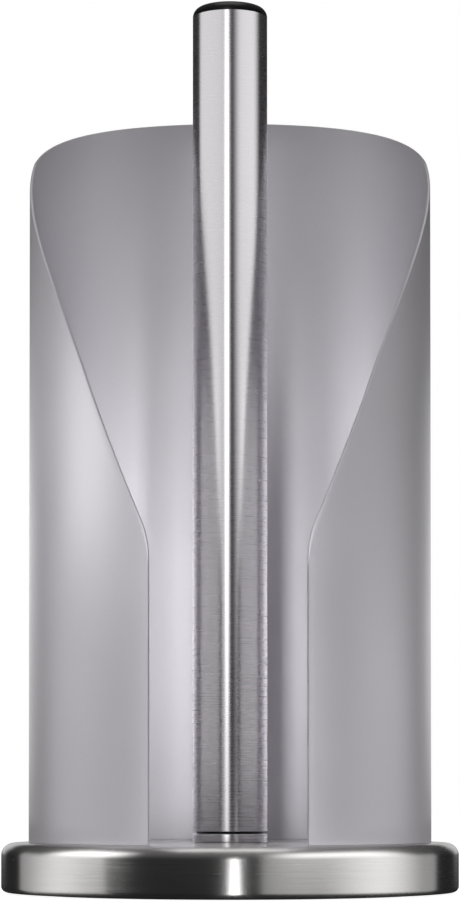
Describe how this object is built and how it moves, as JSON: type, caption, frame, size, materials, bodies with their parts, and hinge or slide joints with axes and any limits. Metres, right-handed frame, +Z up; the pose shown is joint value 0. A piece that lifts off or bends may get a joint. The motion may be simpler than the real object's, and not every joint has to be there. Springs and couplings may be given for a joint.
{
  "type": "paper towel holder",
  "caption": "Standing paper towel holder: weighted round steel base, revolving steel post with black cap, and a curved coated shield with a front slot.",
  "frame": {"origin": "centre of the grip pad's underside, which stands on the counter", "axes": "+Z up along the post, -Y towards the front, where the shield's slot is, +X to the viewer's right"},
  "size_m": [0.155, 0.155, 0.3028],
  "materials": {
    "brushed_steel": "brushed satin",
    "ballast_iron": "as cast, faced",
    "grip_rubber": "matte",
    "coated_sheet": "satin powder coat",
    "plated_steel": "zinc plated",
    "black_plastic": "satin"
  },
  "bodies": {
    "stand": {"base_cover": "brushed_steel", "ballast_disc": "ballast_iron", "grip_pad": "grip_rubber", "shield": "coated_sheet", "shield_screws": "plated_steel", "post_collar": "brushed_steel", "spindle": "plated_steel", "spindle_washer": "plated_steel", "spring_washer": "plated_steel", "spindle_nut": "plated_steel", "retaining_washer": "plated_steel", "retaining_screw": "plated_steel"},
    "post": {"post_tube": "brushed_steel", "lower_bush": "black_plastic", "upper_bush": "black_plastic", "end_cap": "black_plastic"}
  },
  "joints": [
    {"name": "post_turn", "type": "hinge", "parent": "stand", "child": "post", "pos_m": [0, 0, 0.16], "axis": [0, 0, 1], "continuous": true}
  ]
}
